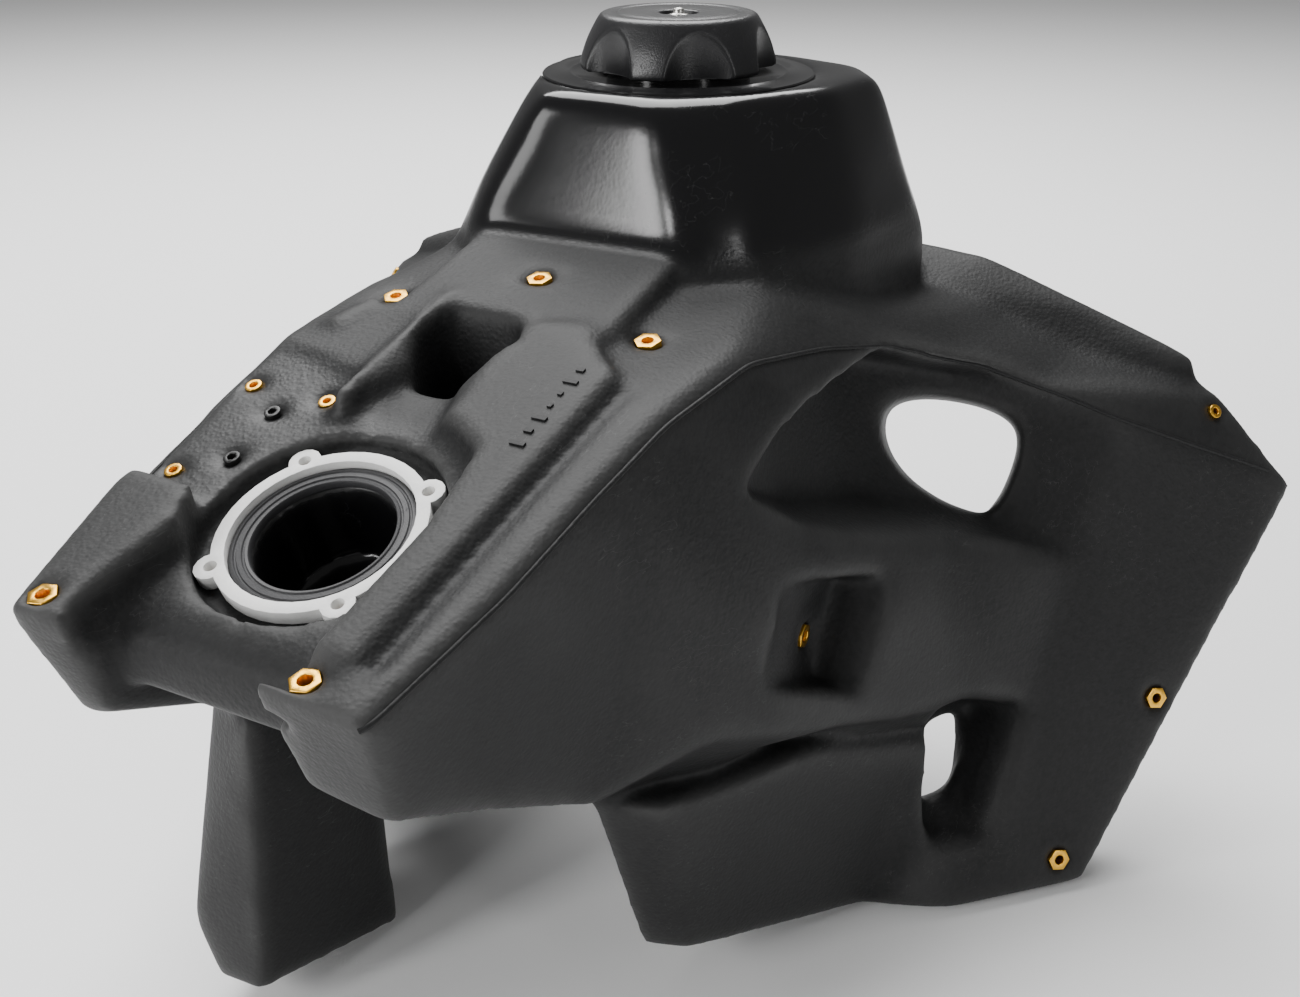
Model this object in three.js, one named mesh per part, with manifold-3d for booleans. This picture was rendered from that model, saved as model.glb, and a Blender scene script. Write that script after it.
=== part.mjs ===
// Large plastic motorcycle fuel tank, saddle shaped, with a screw cap and a rear pump opening.
// Millimetres. +X points to the front of the motorcycle, +Y to its left and +Z up.
// The shapes are worked out about the cap's axis, and the group is then moved so that
// its origin lies on the surface that the tank stands on, under the middle of its box.
import * as THREE from 'three';
import { ConvexGeometry } from 'three/addons/geometries/ConvexGeometry.js';
import { mergeVertices } from 'three/addons/utils/BufferGeometryUtils.js';
import Module from 'manifold-3d';

const wasm = await Module();
wasm.setup();

const WALL = 6;
const CLEARANCE = 0.3;
const LEFT = 1;
const RIGHT = -1;
const UP = new THREE.Vector3(0, 0, 1);

// Seat deck: a plane that rises to the front
const DECK_SLOPE = 0.245;
const DECK_X = -129;
const DECK_Z = -69;
const DECK_NORMAL = new THREE.Vector3(-DECK_SLOPE, 0, 1).normalize();

// Raised panel on the deck, and the channel beside its right edge
const PANEL_HEIGHT = 3.2;
const CHANNEL_DEPTH = 5;

// Pump opening in the deck
const PUMP_CENTRE = new THREE.Vector3(-280.5, 0, -123);
const PUMP_TILT = 20.2 * Math.PI / 180;
const PUMP_NORMAL = new THREE.Vector3(-Math.sin(PUMP_TILT), 0, Math.cos(PUMP_TILT));
const PUMP_HOLE_R = 27.5;
const PUMP_RING_INNER_R = 35.8;
const PUMP_RING_OUTER_R = 41;
const PUMP_RING_HEIGHT = 6;
const PUMP_BOLT_R = 41;
const PUMP_LUG_R = 6.4;
const PUMP_BOLT_HOLE_R = 2.6;
const PUMP_LUG_ANGLES = [45, 135, 225, 315].map((degrees) => degrees * Math.PI / 180);
const POCKET_R = 48;
const SEAL_HEIGHT = 3.5;

// Filler cap and neck, on the axis x = y = 0
const SEAM_R = 65;
const DOME_TOP_Z = -1.5;
const FLANGE_HEIGHT = 3;
const NECK_OUTER_R = 34;
const NECK_INNER_R = 29;
const NECK_TOP_Z = 8;
const NECK_BOTTOM_Z = -22;
const CAP_STAR_R = 47;
const CAP_TOP_R = 35.7;
const CAP_HEIGHT = 25.5;
const CAP_LOBES = 6;
const CAP_DISC_Z = 11.3;
const CAP_DISC_HEIGHT = 2.7;
const VENT_STEM_R = 3;
const VENT_RECESS_R = 9;
const VENT_RECESS_DEPTH = 4;
const CAP_LOBE_TURN = 9.7 * Math.PI / 180;
const SCOOP_FLOOR_R = 38.2;
const SCOOP_R = 30.5;
const SCOOP_TOP_Z = 21.5;

// Threaded brass inserts
const HEX_INSERT = { radius: 5.8, bore: 2.6, length: 12, sides: 6 };
const ROUND_INSERT = { radius: 3.6, bore: 1.8, length: 10, sides: 12 };
const BOSS_WALL = 5;
const PLUG_SCREW = { radius: 3.4, length: 8, sides: 14, socket: 1.9, proud: 0.4 };

const black = new THREE.MeshStandardMaterial({ color: 0x1b1b1c, roughness: 0.55, metalness: 0 });
const capBlack = new THREE.MeshStandardMaterial({ color: 0x161616, roughness: 0.4, metalness: 0 });
const rubber = new THREE.MeshStandardMaterial({ color: 0x0d0d0d, roughness: 0.7, metalness: 0 });
const white = new THREE.MeshStandardMaterial({ color: 0xdcdcd8, roughness: 0.6, metalness: 0 });
const brass = new THREE.MeshStandardMaterial({ color: 0xd9a441, roughness: 0.35, metalness: 1 });
const steel = new THREE.MeshStandardMaterial({ color: 0x9a9a96, roughness: 0.3, metalness: 1 });

// ---- solids -------------------------------------------------------------------------------

function toSolid(geometry) {
  const bare = geometry.index ? geometry.toNonIndexed() : geometry.clone();
  for (const name of Object.keys(bare.attributes)) {
    if (name !== 'position') bare.deleteAttribute(name);
  }
  const merged = mergeVertices(bare, 1e-4);
  return new wasm.Manifold(new wasm.Mesh({
    numProp: 3,
    vertProperties: new Float32Array(merged.attributes.position.array),
    triVerts: new Uint32Array(merged.index.array),
  }));
}

function toGeometry(solid) {
  const mesh = solid.getMesh();
  const geometry = new THREE.BufferGeometry();
  geometry.setAttribute('position', new THREE.BufferAttribute(new Float32Array(mesh.vertProperties), 3));
  geometry.setIndex(new THREE.BufferAttribute(new Uint32Array(mesh.triVerts), 1));
  const flat = geometry.toNonIndexed();
  flat.computeVertexNormals();
  return flat;
}

function join(solids) {
  return solids.reduce((sum, solid) => sum.add(solid));
}

function hull(points) {
  return toSolid(new ConvexGeometry(points.map((p) => new THREE.Vector3(...p))));
}

// A point list on one side of the tank: [x, distance from the middle plane, z]
function onSide(side, points) {
  return points.map(([x, w, z]) => [x, side * w, z]);
}

// Moves the edges of a convex ring inward by a wall, measured in the plane of axes a and b
function insetRing(ring, a, b, wall) {
  const count = ring.length;
  let area = 0;
  ring.forEach((p, i) => {
    const q = ring[(i + 1) % count];
    area += p[a] * q[b] - q[a] * p[b];
  });
  const turn = Math.sign(area);
  const edges = ring.map((p, i) => {
    const q = ring[(i + 1) % count];
    const da = q[a] - p[a];
    const db = q[b] - p[b];
    const length = Math.hypot(da, db);
    const na = -turn * db / length;
    const nb = turn * da / length;
    return { na, nb, offset: na * p[a] + nb * p[b] + wall };
  });
  return ring.map((p, i) => {
    const e = edges[(i + count - 1) % count];
    const f = edges[i];
    const det = e.na * f.nb - e.nb * f.na;
    const moved = [...p];
    moved[a] = (e.offset * f.nb - f.offset * e.nb) / det;
    moved[b] = (e.na * f.offset - f.na * e.offset) / det;
    return moved;
  });
}

// Outer and inner solids through a row of rings that are stacked along one axis
function loft(rings, along, wall = WALL) {
  const [a, b] = [0, 1, 2].filter((axis) => axis !== along);
  const inner = rings.map((ring) => insetRing(ring, a, b, wall));
  const last = rings.length - 1;
  const direction = Math.sign(rings[last][0][along] - rings[0][0][along]);
  inner[0] = inner[0].map((p) => shift(p, along, direction * wall));
  inner[last] = inner[last].map((p) => shift(p, along, -direction * wall));
  const outers = [];
  const inners = [];
  for (let i = 0; i < last; i += 1) {
    outers.push(hull([...rings[i], ...rings[i + 1]]));
    inners.push(hull([...inner[i], ...inner[i + 1]]));
  }
  return { outer: join(outers), inner: join(inners) };
}

function shift(point, axis, distance) {
  const moved = [...point];
  moved[axis] += distance;
  return moved;
}

// A round or many-sided rod whose top face is centred on a point and faces along a direction
function rod(point, direction, radius, length, sides = 24) {
  const geometry = new THREE.CylinderGeometry(radius, radius, length, sides);
  geometry.translate(0, -length / 2, 0);
  geometry.applyQuaternion(turnTo(direction));
  geometry.translate(point.x, point.y, point.z);
  return toSolid(geometry);
}

function turnTo(direction) {
  return new THREE.Quaternion().setFromUnitVectors(new THREE.Vector3(0, 1, 0), direction);
}

function along(point, direction, distance) {
  return point.clone().addScaledVector(direction, distance);
}

function deckZ(x) {
  return DECK_Z + DECK_SLOPE * (x - DECK_X);
}

// ---- tank body ----------------------------------------------------------------------------
// Each ring is an outline across the tank, and its points are [x, distance from the middle, z].

// The right arm is wider than the left one, which stops beside the smooth plate
const ARM_EXTRA = { [RIGHT]: 22, [LEFT]: 0 };
const SHOULDER_CUT_BACK = { [RIGHT]: 0, [LEFT]: 12 };

function onRings(side, rings) {
  return rings.map((ring) => onSide(side, ring));
}

function sideBody(side) {
  const arm = ARM_EXTRA[side];
  const cut = SHOULDER_CUT_BACK[side];
  const rings = [
    [
      [-366, 40, -129], [-368, 62 + arm, -128], [-366, 66 + arm, -134],
      [-350, 58 + arm, -180], [-350, 44, -176],
    ],
    [
      [-300, 38, -112], [-300, 92 - cut, -112], [-300, 96 - cut, -120],
      [-300, 82 - cut, -208], [-300, 42, -200],
    ],
    [
      [-245, 34, -99], [-245, 94 - cut, -98], [-245, 98 - cut, -106],
      [-245, 101, -160], [-245, 88, -240], [-245, 50, -240],
    ],
    [
      [-200, 34, -88], [-200, 96 - cut, -88], [-200, 101 - cut, -96], [-200, 121, -160],
      [-200, 123, -223], [-203, 72, -268], [-203, 60, -268],
    ],
    [
      [-137, 34, -79], [-137, 98 - cut, -82], [-137, 106 - cut, -90], [-137, 130, -150],
      [-137, 150, -207], [-137, 152, -246], [-137, 62, -285],
    ],
    [
      [-85, 40, -70], [-85, 88 - cut, -74], [-85, 118 - cut, -98], [-85, 155, -173],
      [-85, 170, -212], [-85, 174, -264], [-85, 62, -290],
    ],
    [
      [-48, 40, -84], [-48, 104 - cut, -86], [-48, 127 - cut, -103], [-48, 166, -180],
      [-48, 184, -240], [-48, 188, -272], [-48, 62, -285],
    ],
    [
      [10, 50, -98], [10, 108, -100], [10, 145, -120], [20, 180, -142],
      [14, 210, -215], [-20, 205, -286], [-10, 80, -286],
    ],
  ];
  return loft(onRings(side, rings), 0);
}

// Deck between the two sides, down to the tunnel over the frame
function deckBody() {
  const stations = [
    { x: -342, half: 60, top: -147, floor: -166 },
    { x: -300, half: 60, top: deckZ(-300) - 2, floor: -184 },
    { x: -178, half: 60, top: deckZ(-178) - 2, floor: -170 },
    { x: -168, half: 52, top: deckZ(-168), floor: -165 },
    { x: -100, half: 52, top: deckZ(-100), floor: -160 },
    { x: 60, half: 52, top: -110, floor: -160 },
  ];
  const rings = stations.map(({ x, half, top, floor }) => [
    [x, -half, top], [x, half, top], [x, half, floor], [x, -half, floor],
  ]);
  return loft(rings, 0);
}

// Raised dome that carries the filler; its right side is fuller than its left
function domeBody() {
  const ring = (z, right, left) => [
    ...right.map(([x, w]) => [x, -w, z]),
    ...left.slice().reverse().map(([x, w]) => [x, w, z]),
  ];
  const levels = [
    ring(-140, [[-92, 60], [-70, 84], [-20, 100], [50, 108], [84, 92], [90, 40]],
      [[-92, 60], [-70, 80], [-20, 96], [50, 104], [84, 90], [90, 40]]),
    ring(-82, [[-104, 60], [-84, 84], [-20, 106], [52, 114], [84, 98], [94, 40]],
      [[-104, 60], [-84, 80], [-20, 98], [50, 108], [84, 96], [94, 40]]),
    ring(-50, [[-95, 52], [-72, 76], [-14, 99], [49, 102], [78, 86], [88, 36]],
      [[-95, 52], [-74, 70], [-20, 86], [40, 94], [76, 84], [88, 36]]),
    ring(-9, [[-79, 32], [-58, 56], [-8, 86], [36, 92], [68, 72], [80, 30]],
      [[-79, 32], [-64, 48], [-30, 62], [20, 78], [62, 68], [80, 30]]),
    ring(-1.5, [[-74, 26], [-54, 52], [-10, 82], [30, 88], [60, 66], [74, 26]],
      [[-74, 26], [-60, 42], [-30, 57], [16, 72], [56, 62], [74, 26]]),
  ];
  return loft(levels, 2);
}

// Shoulder from under the dome out to the top of the wing
function shoulderBody(side) {
  const cut = side === LEFT ? 8 : 0;
  const rings = [
    [[-110, 60, -78], [67, 60, -112], [105, 70, -118], [105, 70, -158], [-110, 60, -130]],
    [[-60, 106 - cut, -88], [67, 112, -113], [110, 112, -118], [110, 112, -165], [-60, 106 - cut, -140]],
    [[-8, 145, -116], [71, 150, -124], [110, 150, -126], [110, 150, -175], [-8, 145, -150]],
    [[20, 181, -137], [80, 185, -138], [112, 185, -140], [112, 185, -190], [20, 181, -175]],
    [
      [46, 216, -155], [90, 221, -151], [106, 257, -154],
      [112, 300, -200], [112, 262, -212], [46, 216, -190],
    ],
  ];
  return loft(onRings(side, rings), 1);
}

// Raised lip along the front of the shoulder
function shoulderLip(side) {
  const rings = [
    [[60, 70, -112], [100, 70, -96], [112, 70, -100], [112, 70, -140], [60, 70, -140]],
    [[67, 112, -113], [104, 129, -101], [112, 129, -105], [112, 129, -150], [67, 112, -150]],
    [[80, 185, -138], [104, 185, -118], [112, 185, -123], [112, 185, -165], [80, 185, -165]],
    [[90, 221, -151], [105, 243, -138], [112, 243, -144], [112, 243, -180], [90, 221, -180]],
  ];
  return loft(onRings(side, rings), 1);
}

// Wing in front of the side, a flat hollow panel that flares out beside the radiator
const PANEL_NORMAL = new THREE.Vector3(-0.676, 0.679, 0.287).normalize();
const PANEL_OFFSET = 70.6;
const PANEL_DEPTH = 44;

function onPanel([x, z], depth) {
  const n = PANEL_NORMAL;
  return [x, (PANEL_OFFSET - depth - n.x * x - n.z * z) / n.y, z];
}

function wingBody(side) {
  const n = PANEL_NORMAL;
  const outline = [[46, -155], [112, -200], [-20, -383], [-74, -383], [-86, -370], [-30, -286], [0, -222]];
  const tight = insetRing(outline.map(([x, z]) => [x, 0, z]), 0, 2, WALL).map(([x, , z]) => [x, z]);
  const layer = (shape, depth) => shape.map((p) => {
    const [x, w, z] = onPanel(p, 0);
    return [x - n.x * depth, w - n.y * depth, z - n.z * depth * 0.2];
  });
  const solid = (shape, from, to) => hull(onSide(side, [...layer(shape, from), ...layer(shape, to)]));
  return { outer: solid(outline, 0, PANEL_DEPTH), inner: solid(tight, WALL, PANEL_DEPTH - WALL) };
}

// Block below the side; the left one reaches further back, as the exhaust passes on the right
function rightLobe() {
  const rings = [
    [[-216, 72, -262], [-206, 100, -262], [-198, 105, -290], [-186, 105, -353], [-196, 85, -350]],
    [[-174, 62, -262], [-174, 120, -263], [-174, 117, -290], [-170, 113, -358], [-170, 80, -357]],
    [[-62, 60, -275], [-62, 173, -268], [-62, 173, -307], [-92, 152, -380], [-92, 88, -380]],
    [[-20, 80, -280], [-15, 186, -290], [-30, 194, -352], [-62, 196, -383], [-60, 120, -383]],
  ];
  return loft(onRings(RIGHT, rings), 0);
}

function leftLobe() {
  const rings = [
    [[-280, 52, -226], [-263, 85, -222], [-288, 94, -340], [-287, 84, -368], [-287, 58, -367]],
    [[-200, 52, -232], [-200, 110, -228], [-200, 112, -345], [-203, 104, -385], [-203, 45, -385]],
  ];
  return loft(onRings(LEFT, rings), 0);
}

function leftFrontLobe() {
  const rings = [
    [[-214, 60, -250], [-214, 118, -245], [-214, 112, -300], [-214, 106, -345], [-214, 84, -345]],
    [[-62, 60, -275], [-62, 173, -268], [-62, 173, -307], [-92, 152, -380], [-92, 100, -380]],
    [[-20, 80, -280], [-15, 186, -290], [-30, 194, -352], [-62, 196, -383], [-60, 120, -383]],
  ];
  return loft(onRings(LEFT, rings), 0);
}

// Fills the corner between the lower block and the toe of the wing
function toeBridge(side) {
  const points = [
    [-92, 152, -380], [-74, 165, -330], [-66, 186, -344], [-82, 176, -362], [-74, 191, -383],
    [-60, 120, -383], [-60, 150, -330],
  ];
  return { outer: hull(onSide(side, points)) };
}

// Post between the window and the wing
function windowPost(side) {
  const points = [
    [44, 212, -158], [2, 197, -221], [62, 186, -160], [62, 170, -224], [22, 158, -232], [-10, 176, -232],
    [28, 168, -160], [14, 180, -160],
  ];
  return { outer: hull(onSide(side, points)) };
}

// ---- cuts ---------------------------------------------------------------------------------
// The hollow inside the tank stays about one wall away from each cut.

const GROWTH = WALL * 0.85;

function grown(points) {
  const corners = [-GROWTH, GROWTH];
  return points.flatMap(([x, y, z]) => corners.flatMap((dx) => corners.flatMap((dy) => (
    corners.map((dz) => [x + dx, y + dy, z + dz])))));
}

function cut(points) {
  return { outer: hull(points), inner: hull(grown(points)) };
}

function sideCut(side, points) {
  return cut(onSide(side, points));
}

// Long hollow under the top of the side, around the window
function sideRecess(side) {
  const rim = [
    [-185, 150, -126], [-120, 150, -108], [-44, 150, -100], [14, 190, -122], [50, 222, -158],
    [46, 226, -174], [18, 218, -221], [-70, 170, -187], [-140, 150, -164],
  ];
  const floor = [
    [-164, 112, -130], [-120, 104, -116], [-45, 106, -112], [8, 138, -132],
    [24, 176, -156], [4, 176, -205], [-62, 124, -172], [-130, 112, -148],
  ];
  return sideCut(side, [...rim, ...floor]);
}

// Window through the shoulder into the space for the radiator
function sideWindow(side) {
  const near = [
    [-30, 124, -153], [-25, 123, -144], [-16, 128, -141], [-2, 141, -142], [13, 158, -148], [22, 170, -155],
    [24, 177, -163], [18, 178, -173], [8, 177, -186], [-2, 174, -196], [-8, 169, -196], [-20, 154, -188],
    [-29, 139, -176], [-31, 129, -164],
  ];
  const reach = [0.889, -0.241, -0.389];
  const step = (distance) => near.map((p) => p.map((value, axis) => value + reach[axis] * distance));
  return sideCut(side, [...step(-20), ...step(150)]);
}

function sidePocket(side) {
  const floor = 131;
  const rim = [[-165, 165, -167], [-98, 165, -188], [-123, 165, -236], [-184, 165, -210]];
  const base = [[-163, floor, -169], [-106, floor, -191], [-128, floor, -232], [-180, floor, -209]];
  return sideCut(side, [...rim, ...base]);
}

// Groove between the side and the block below it, in a front and a rear length
function grooveFront(side) {
  return sideCut(side, [
    [-206, 150, -221], [-60, 195, -276], [-60, 195, -300], [-176, 145, -255],
    [-190, 106, -242], [-60, 160, -288],
  ]);
}

function lowerRecess(side) {
  return sideCut(side, [
    [-74, 186, -262], [-22, 216, -284], [-62, 214, -356], [-78, 190, -350],
    [-40, 152, -288], [-8, 176, -296], [-34, 178, -344], [-56, 156, -340],
  ]);
}

function lowerSlit(side) {
  return sideCut(side, [
    [-34, 168, -304], [-16, 176, -304], [-24, 176, -342], [-46, 168, -342],
    [-20, 110, -316], [20, 110, -316], [20, 110, -366], [-34, 110, -366],
  ]);
}

// Space for the radiator behind each wing, open to the front, to the middle and below
const RADIATOR_CEILING = -168;

function radiatorSpace(side) {
  const corner = (x, z) => onPanel([x, z], PANEL_DEPTH);
  const points = [[-10, RADIATOR_CEILING], [200, RADIATOR_CEILING], [-64, -420], [200, -420]];
  return sideCut(side, [...points.map(([x, z]) => [x, 40, z]), ...points.map(([x, z]) => corner(x, z))]);
}

function pumpPocket() {
  const top = along(PUMP_CENTRE, PUMP_NORMAL, 60);
  return {
    outer: rod(top, PUMP_NORMAL, POCKET_R, 60 + PUMP_RING_HEIGHT, 36),
    inner: rod(top, PUMP_NORMAL, POCKET_R + WALL, 60 + PUMP_RING_HEIGHT + WALL, 20),
  };
}

// Sunken floor around the pump, which runs out over the left side as a smooth plate
const SUNK_FLOOR = 3;

function sunkZ(x) {
  return PUMP_CENTRE.z + SUNK_FLOOR / Math.cos(PUMP_TILT) + Math.tan(PUMP_TILT) * (x - PUMP_CENTRE.x);
}

function sunkCut(outline) {
  return cut(outline.flatMap(([x, y]) => [[x, y, sunkZ(x)], [x, y, sunkZ(x) + 60]]));
}

function pumpFloor() {
  return sunkCut([[-212, 34], [-232, -25], [-244, -44], [-284, -51], [-360, -52], [-360, 44], [-293, 37]]);
}

function plateFloor() {
  return sunkCut([[-199, 120], [-199, 81], [-212, 30], [-293, 33], [-289, 80], [-286, 120]]);
}

// Deep socket in the deck ahead of the pump, with a shallow ramp down to it from behind
function deckSocket() {
  const mouth = [
    [-206, -10, -60], [-176, -21, -60], [-158, -12, -60],
    [-158, 26, -60], [-178, 30, -60], [-206, 18, -60],
  ];
  const bottom = [
    [-196, -6, -140], [-176, -14, -140], [-166, -8, -132],
    [-166, 20, -132], [-178, 24, -138], [-196, 14, -140],
  ];
  return cut([...mouth, ...bottom]);
}

function deckRamp() {
  const mouth = [[-250, -24, -70], [-196, -10, -70], [-196, 22, -70], [-250, 23, -70]];
  const low = sunkZ(-246);
  const high = deckZ(-196) - 11;
  return cut([...mouth, [-246, -22, low], [-196, -6, high], [-196, 18, high], [-246, 21, low]]);
}

// Narrow channel along the right arm, beside the raised panel
function armChannel() {
  const ends = [[-350, -71], [-350, -78], [-186, -72], [-186, -79]];
  const top = ends.map(([x, y]) => [x, y, deckZ(x) + 20]);
  const floor = ends.map(([x, y]) => [x, y, deckZ(x) - CHANNEL_DEPTH]);
  return cut([...top, ...floor]);
}

function cuts() {
  const both = [sideRecess, sideWindow, sidePocket, grooveFront, lowerRecess, lowerSlit, radiatorSpace];
  return [
    ...both.map((make) => make(RIGHT)),
    ...both.map((make) => make(LEFT)),
    pumpPocket(),
    pumpFloor(),
    plateFloor(),
    deckSocket(),
    deckRamp(),
    armChannel(),
  ];
}

// ---- raised details on the deck -------------------------------------------------------------

// A flat plate on the deck, given by its outline in [x, y] and its height above the deck plane
function deckPlate(outline, height, depth = 4) {
  const top = outline.map(([x, y]) => [x, y, deckZ(x) + height]);
  const bottom = outline.map(([x, y]) => [x, y, deckZ(x) - depth]);
  return hull([...top, ...bottom]);
}

function raisedPanel() {
  return join([
    deckPlate([
      [-238, -23], [-168, -12], [-158, -40], [-172, -52],
      [-187, -71], [-250, -71], [-250, -45],
    ], PANEL_HEIGHT, 14),
    deckPlate([[-244, -44], [-284, -51], [-350, -52], [-350, -70], [-244, -71]], PANEL_HEIGHT, 14),
  ]);
}

// Thin ridge beside the socket, and the low boss on its left
function ridgeAndBoss() {
  return join([
    deckPlate([[-234, 24], [-150, 26], [-150, 31], [-234, 31]], 3, 14),
    deckPlate([[-190, 62], [-166, 56], [-160, 64], [-184, 72]], 1, 8),
  ]);
}

// ---- inserts --------------------------------------------------------------------------------

function v(x, y, z) {
  return new THREE.Vector3(x, y, z);
}

function wingNormal(side) {
  return v(PANEL_NORMAL.x, side * PANEL_NORMAL.y, PANEL_NORMAL.z);
}

function onWing(side, x, z) {
  const [, w] = onPanel([x, z], 0);
  return v(x, side * w, z);
}

function onDeck(x, y, below = 2) {
  return v(x, y, deckZ(x) - below);
}

function onPlate(x, y) {
  return v(x, y, sunkZ(x));
}

function insertPlaces() {
  const places = [
    { name: 'rear_insert_right', at: onDeck(-357, -57), facing: DECK_NORMAL, type: HEX_INSERT },
    { name: 'rear_insert_left', at: onDeck(-357, 57), facing: DECK_NORMAL, type: HEX_INSERT },
    { name: 'middle_insert_right', at: v(-148, -63, -81), facing: DECK_NORMAL, type: HEX_INSERT },
    { name: 'middle_insert_left', at: v(-148, 63, -81), facing: DECK_NORMAL, type: HEX_INSERT },
    { name: 'centre_insert', at: onDeck(-129, 0, 0), facing: DECK_NORMAL, type: HEX_INSERT },
    { name: 'plate_insert_rear', at: onPlate(-274.8, 77), facing: PUMP_NORMAL, type: ROUND_INSERT },
    { name: 'plate_insert_outer', at: onPlate(-225.6, 78), facing: PUMP_NORMAL, type: ROUND_INSERT },
    { name: 'plate_insert_inner', at: onPlate(-225.4, 40), facing: PUMP_NORMAL, type: ROUND_INSERT },
  ];
  for (const side of [RIGHT, LEFT]) {
    const word = side === RIGHT ? 'right' : 'left';
    places.push({
      name: `pocket_insert_${word}`,
      at: v(-129, side * 131, -211),
      facing: v(0, side, 0),
      type: HEX_INSERT,
    });
    places.push({
      name: `wing_insert_upper_${word}`,
      at: onWing(side, 31, -295),
      facing: wingNormal(side),
      type: HEX_INSERT,
    });
    places.push({
      name: `wing_insert_lower_${word}`,
      at: onWing(side, -26, -367),
      facing: wingNormal(side),
      type: HEX_INSERT,
    });
    places.push({
      name: `wing_insert_top_${word}`,
      at: v(95, side * 257, -161.5),
      facing: v(-0.47, side * 0.675, 0.569).normalize(),
      type: ROUND_INSERT,
    });
  }
  return places;
}

const inserts = insertPlaces();

function insertCuts() {
  return [...inserts, ...pumpInserts()].map(({ at, facing, type }) => ({
    outer: rod(along(at, facing, 8), facing, type.radius + CLEARANCE, type.length + 8.5, type.sides),
    inner: rod(along(at, facing, 8), facing, type.radius + BOSS_WALL, type.length + 8 + BOSS_WALL, 8),
  }));
}

function makeInsert({ at, facing, type }) {
  const body = rod(at, facing, type.radius, type.length, type.sides);
  const bore = rod(along(at, facing, 1), facing, type.bore, type.length + 2, 10);
  return body.subtract(bore);
}

// ---- shell ----------------------------------------------------------------------------------

function fillerSeat() {
  return {
    outer: join([
      rod(v(0, 0, 10), UP, SEAM_R + CLEARANCE, 10 - DOME_TOP_Z + FLANGE_HEIGHT + CLEARANCE, 40),
      rod(v(0, 0, 10), UP, NECK_OUTER_R + CLEARANCE, 60, 32),
    ]),
    inner: rod(v(0, 0, 10), UP, SEAM_R + WALL, 10 - DOME_TOP_Z + FLANGE_HEIGHT + WALL, 20),
  };
}

function pumpHole() {
  return rod(along(PUMP_CENTRE, PUMP_NORMAL, 10), PUMP_NORMAL, PUMP_HOLE_R, 40, 32);
}

function tankShell() {
  const all = bodies();
  const removed = [...cuts(), ...insertCuts(), ...plugScrewCuts(), fillerSeat()];
  let outer = join(all.map((body) => body.outer));
  let cavity = join(all.filter((body) => body.inner).map((body) => body.inner));
  for (const piece of removed) {
    outer = outer.subtract(piece.outer);
    cavity = cavity.subtract(piece.inner);
  }
  const hollowed = [pumpPocket(), deckSocket(), deckRamp(), armChannel(), ...insertCuts()];
  const clear = join(hollowed.map((c) => c.outer));
  const panel = raisedPanel().subtract(pumpFloor().outer);
  const raised = panel.add(ridgeAndBoss()).subtract(clear);
  return outer.add(raised).subtract(cavity).subtract(pumpHole());
}

function bodies() {
  return [
    sideBody(RIGHT),
    sideBody(LEFT),
    deckBody(),
    domeBody(),
    shoulderBody(RIGHT),
    shoulderBody(LEFT),
    wingBody(RIGHT),
    wingBody(LEFT),
    shoulderLip(RIGHT),
    shoulderLip(LEFT),
    rightLobe(),
    leftLobe(),
    leftFrontLobe(),
    toeBridge(RIGHT),
    toeBridge(LEFT),
    windowPost(RIGHT),
    windowPost(LEFT),
  ];
}

// ---- pump flange ----------------------------------------------------------------------------

function onPump(radius, angle, height) {
  const across = v(Math.cos(PUMP_TILT), 0, Math.sin(PUMP_TILT));
  return along(PUMP_CENTRE, PUMP_NORMAL, height)
    .addScaledVector(across, radius * Math.cos(angle))
    .add(v(0, radius * Math.sin(angle), 0));
}

function pumpRing() {
  const height = PUMP_RING_HEIGHT - CLEARANCE;
  const lugs = PUMP_LUG_ANGLES.map((angle) => (
    rod(onPump(PUMP_BOLT_R, angle, 0), PUMP_NORMAL, PUMP_LUG_R, height, 14)));
  const holes = PUMP_LUG_ANGLES.map((angle) => (
    rod(onPump(PUMP_BOLT_R, angle, 1), PUMP_NORMAL, PUMP_BOLT_HOLE_R, 10, 12)));
  const disc = rod(PUMP_CENTRE, PUMP_NORMAL, PUMP_RING_OUTER_R, height, 40);
  const opening = rod(onPump(0, 0, 1), PUMP_NORMAL, PUMP_RING_INNER_R, 10, 40);
  return join([disc, ...lugs]).subtract(opening).subtract(join(holes));
}

function pumpSeal() {
  const top = onPump(0, 0, -PUMP_RING_HEIGHT + SEAL_HEIGHT);
  const disc = rod(top, PUMP_NORMAL, PUMP_RING_INNER_R - CLEARANCE, SEAL_HEIGHT - CLEARANCE, 40);
  return disc.subtract(rod(onPump(0, 0, 1), PUMP_NORMAL, PUMP_HOLE_R, 12, 32));
}

function pumpInserts() {
  return PUMP_LUG_ANGLES.map((angle, i) => ({
    name: `pump_insert_${i + 1}`,
    at: onPump(PUMP_BOLT_R, angle, -PUMP_RING_HEIGHT),
    facing: PUMP_NORMAL,
    type: ROUND_INSERT,
  }));
}

// ---- smooth plate's plug screws -------------------------------------------------------------

const PLUG_SCREW_PLACES = [onPlate(-263.2, 56.7), onPlate(-237.5, 57.7)];

function plugScrew(at) {
  const { radius, length, sides, proud } = PLUG_SCREW;
  const body = rod(along(at, PUMP_NORMAL, proud), PUMP_NORMAL, radius, length, sides);
  return body.subtract(rod(along(at, PUMP_NORMAL, 2), PUMP_NORMAL, PLUG_SCREW.socket, 5, 6));
}

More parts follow.
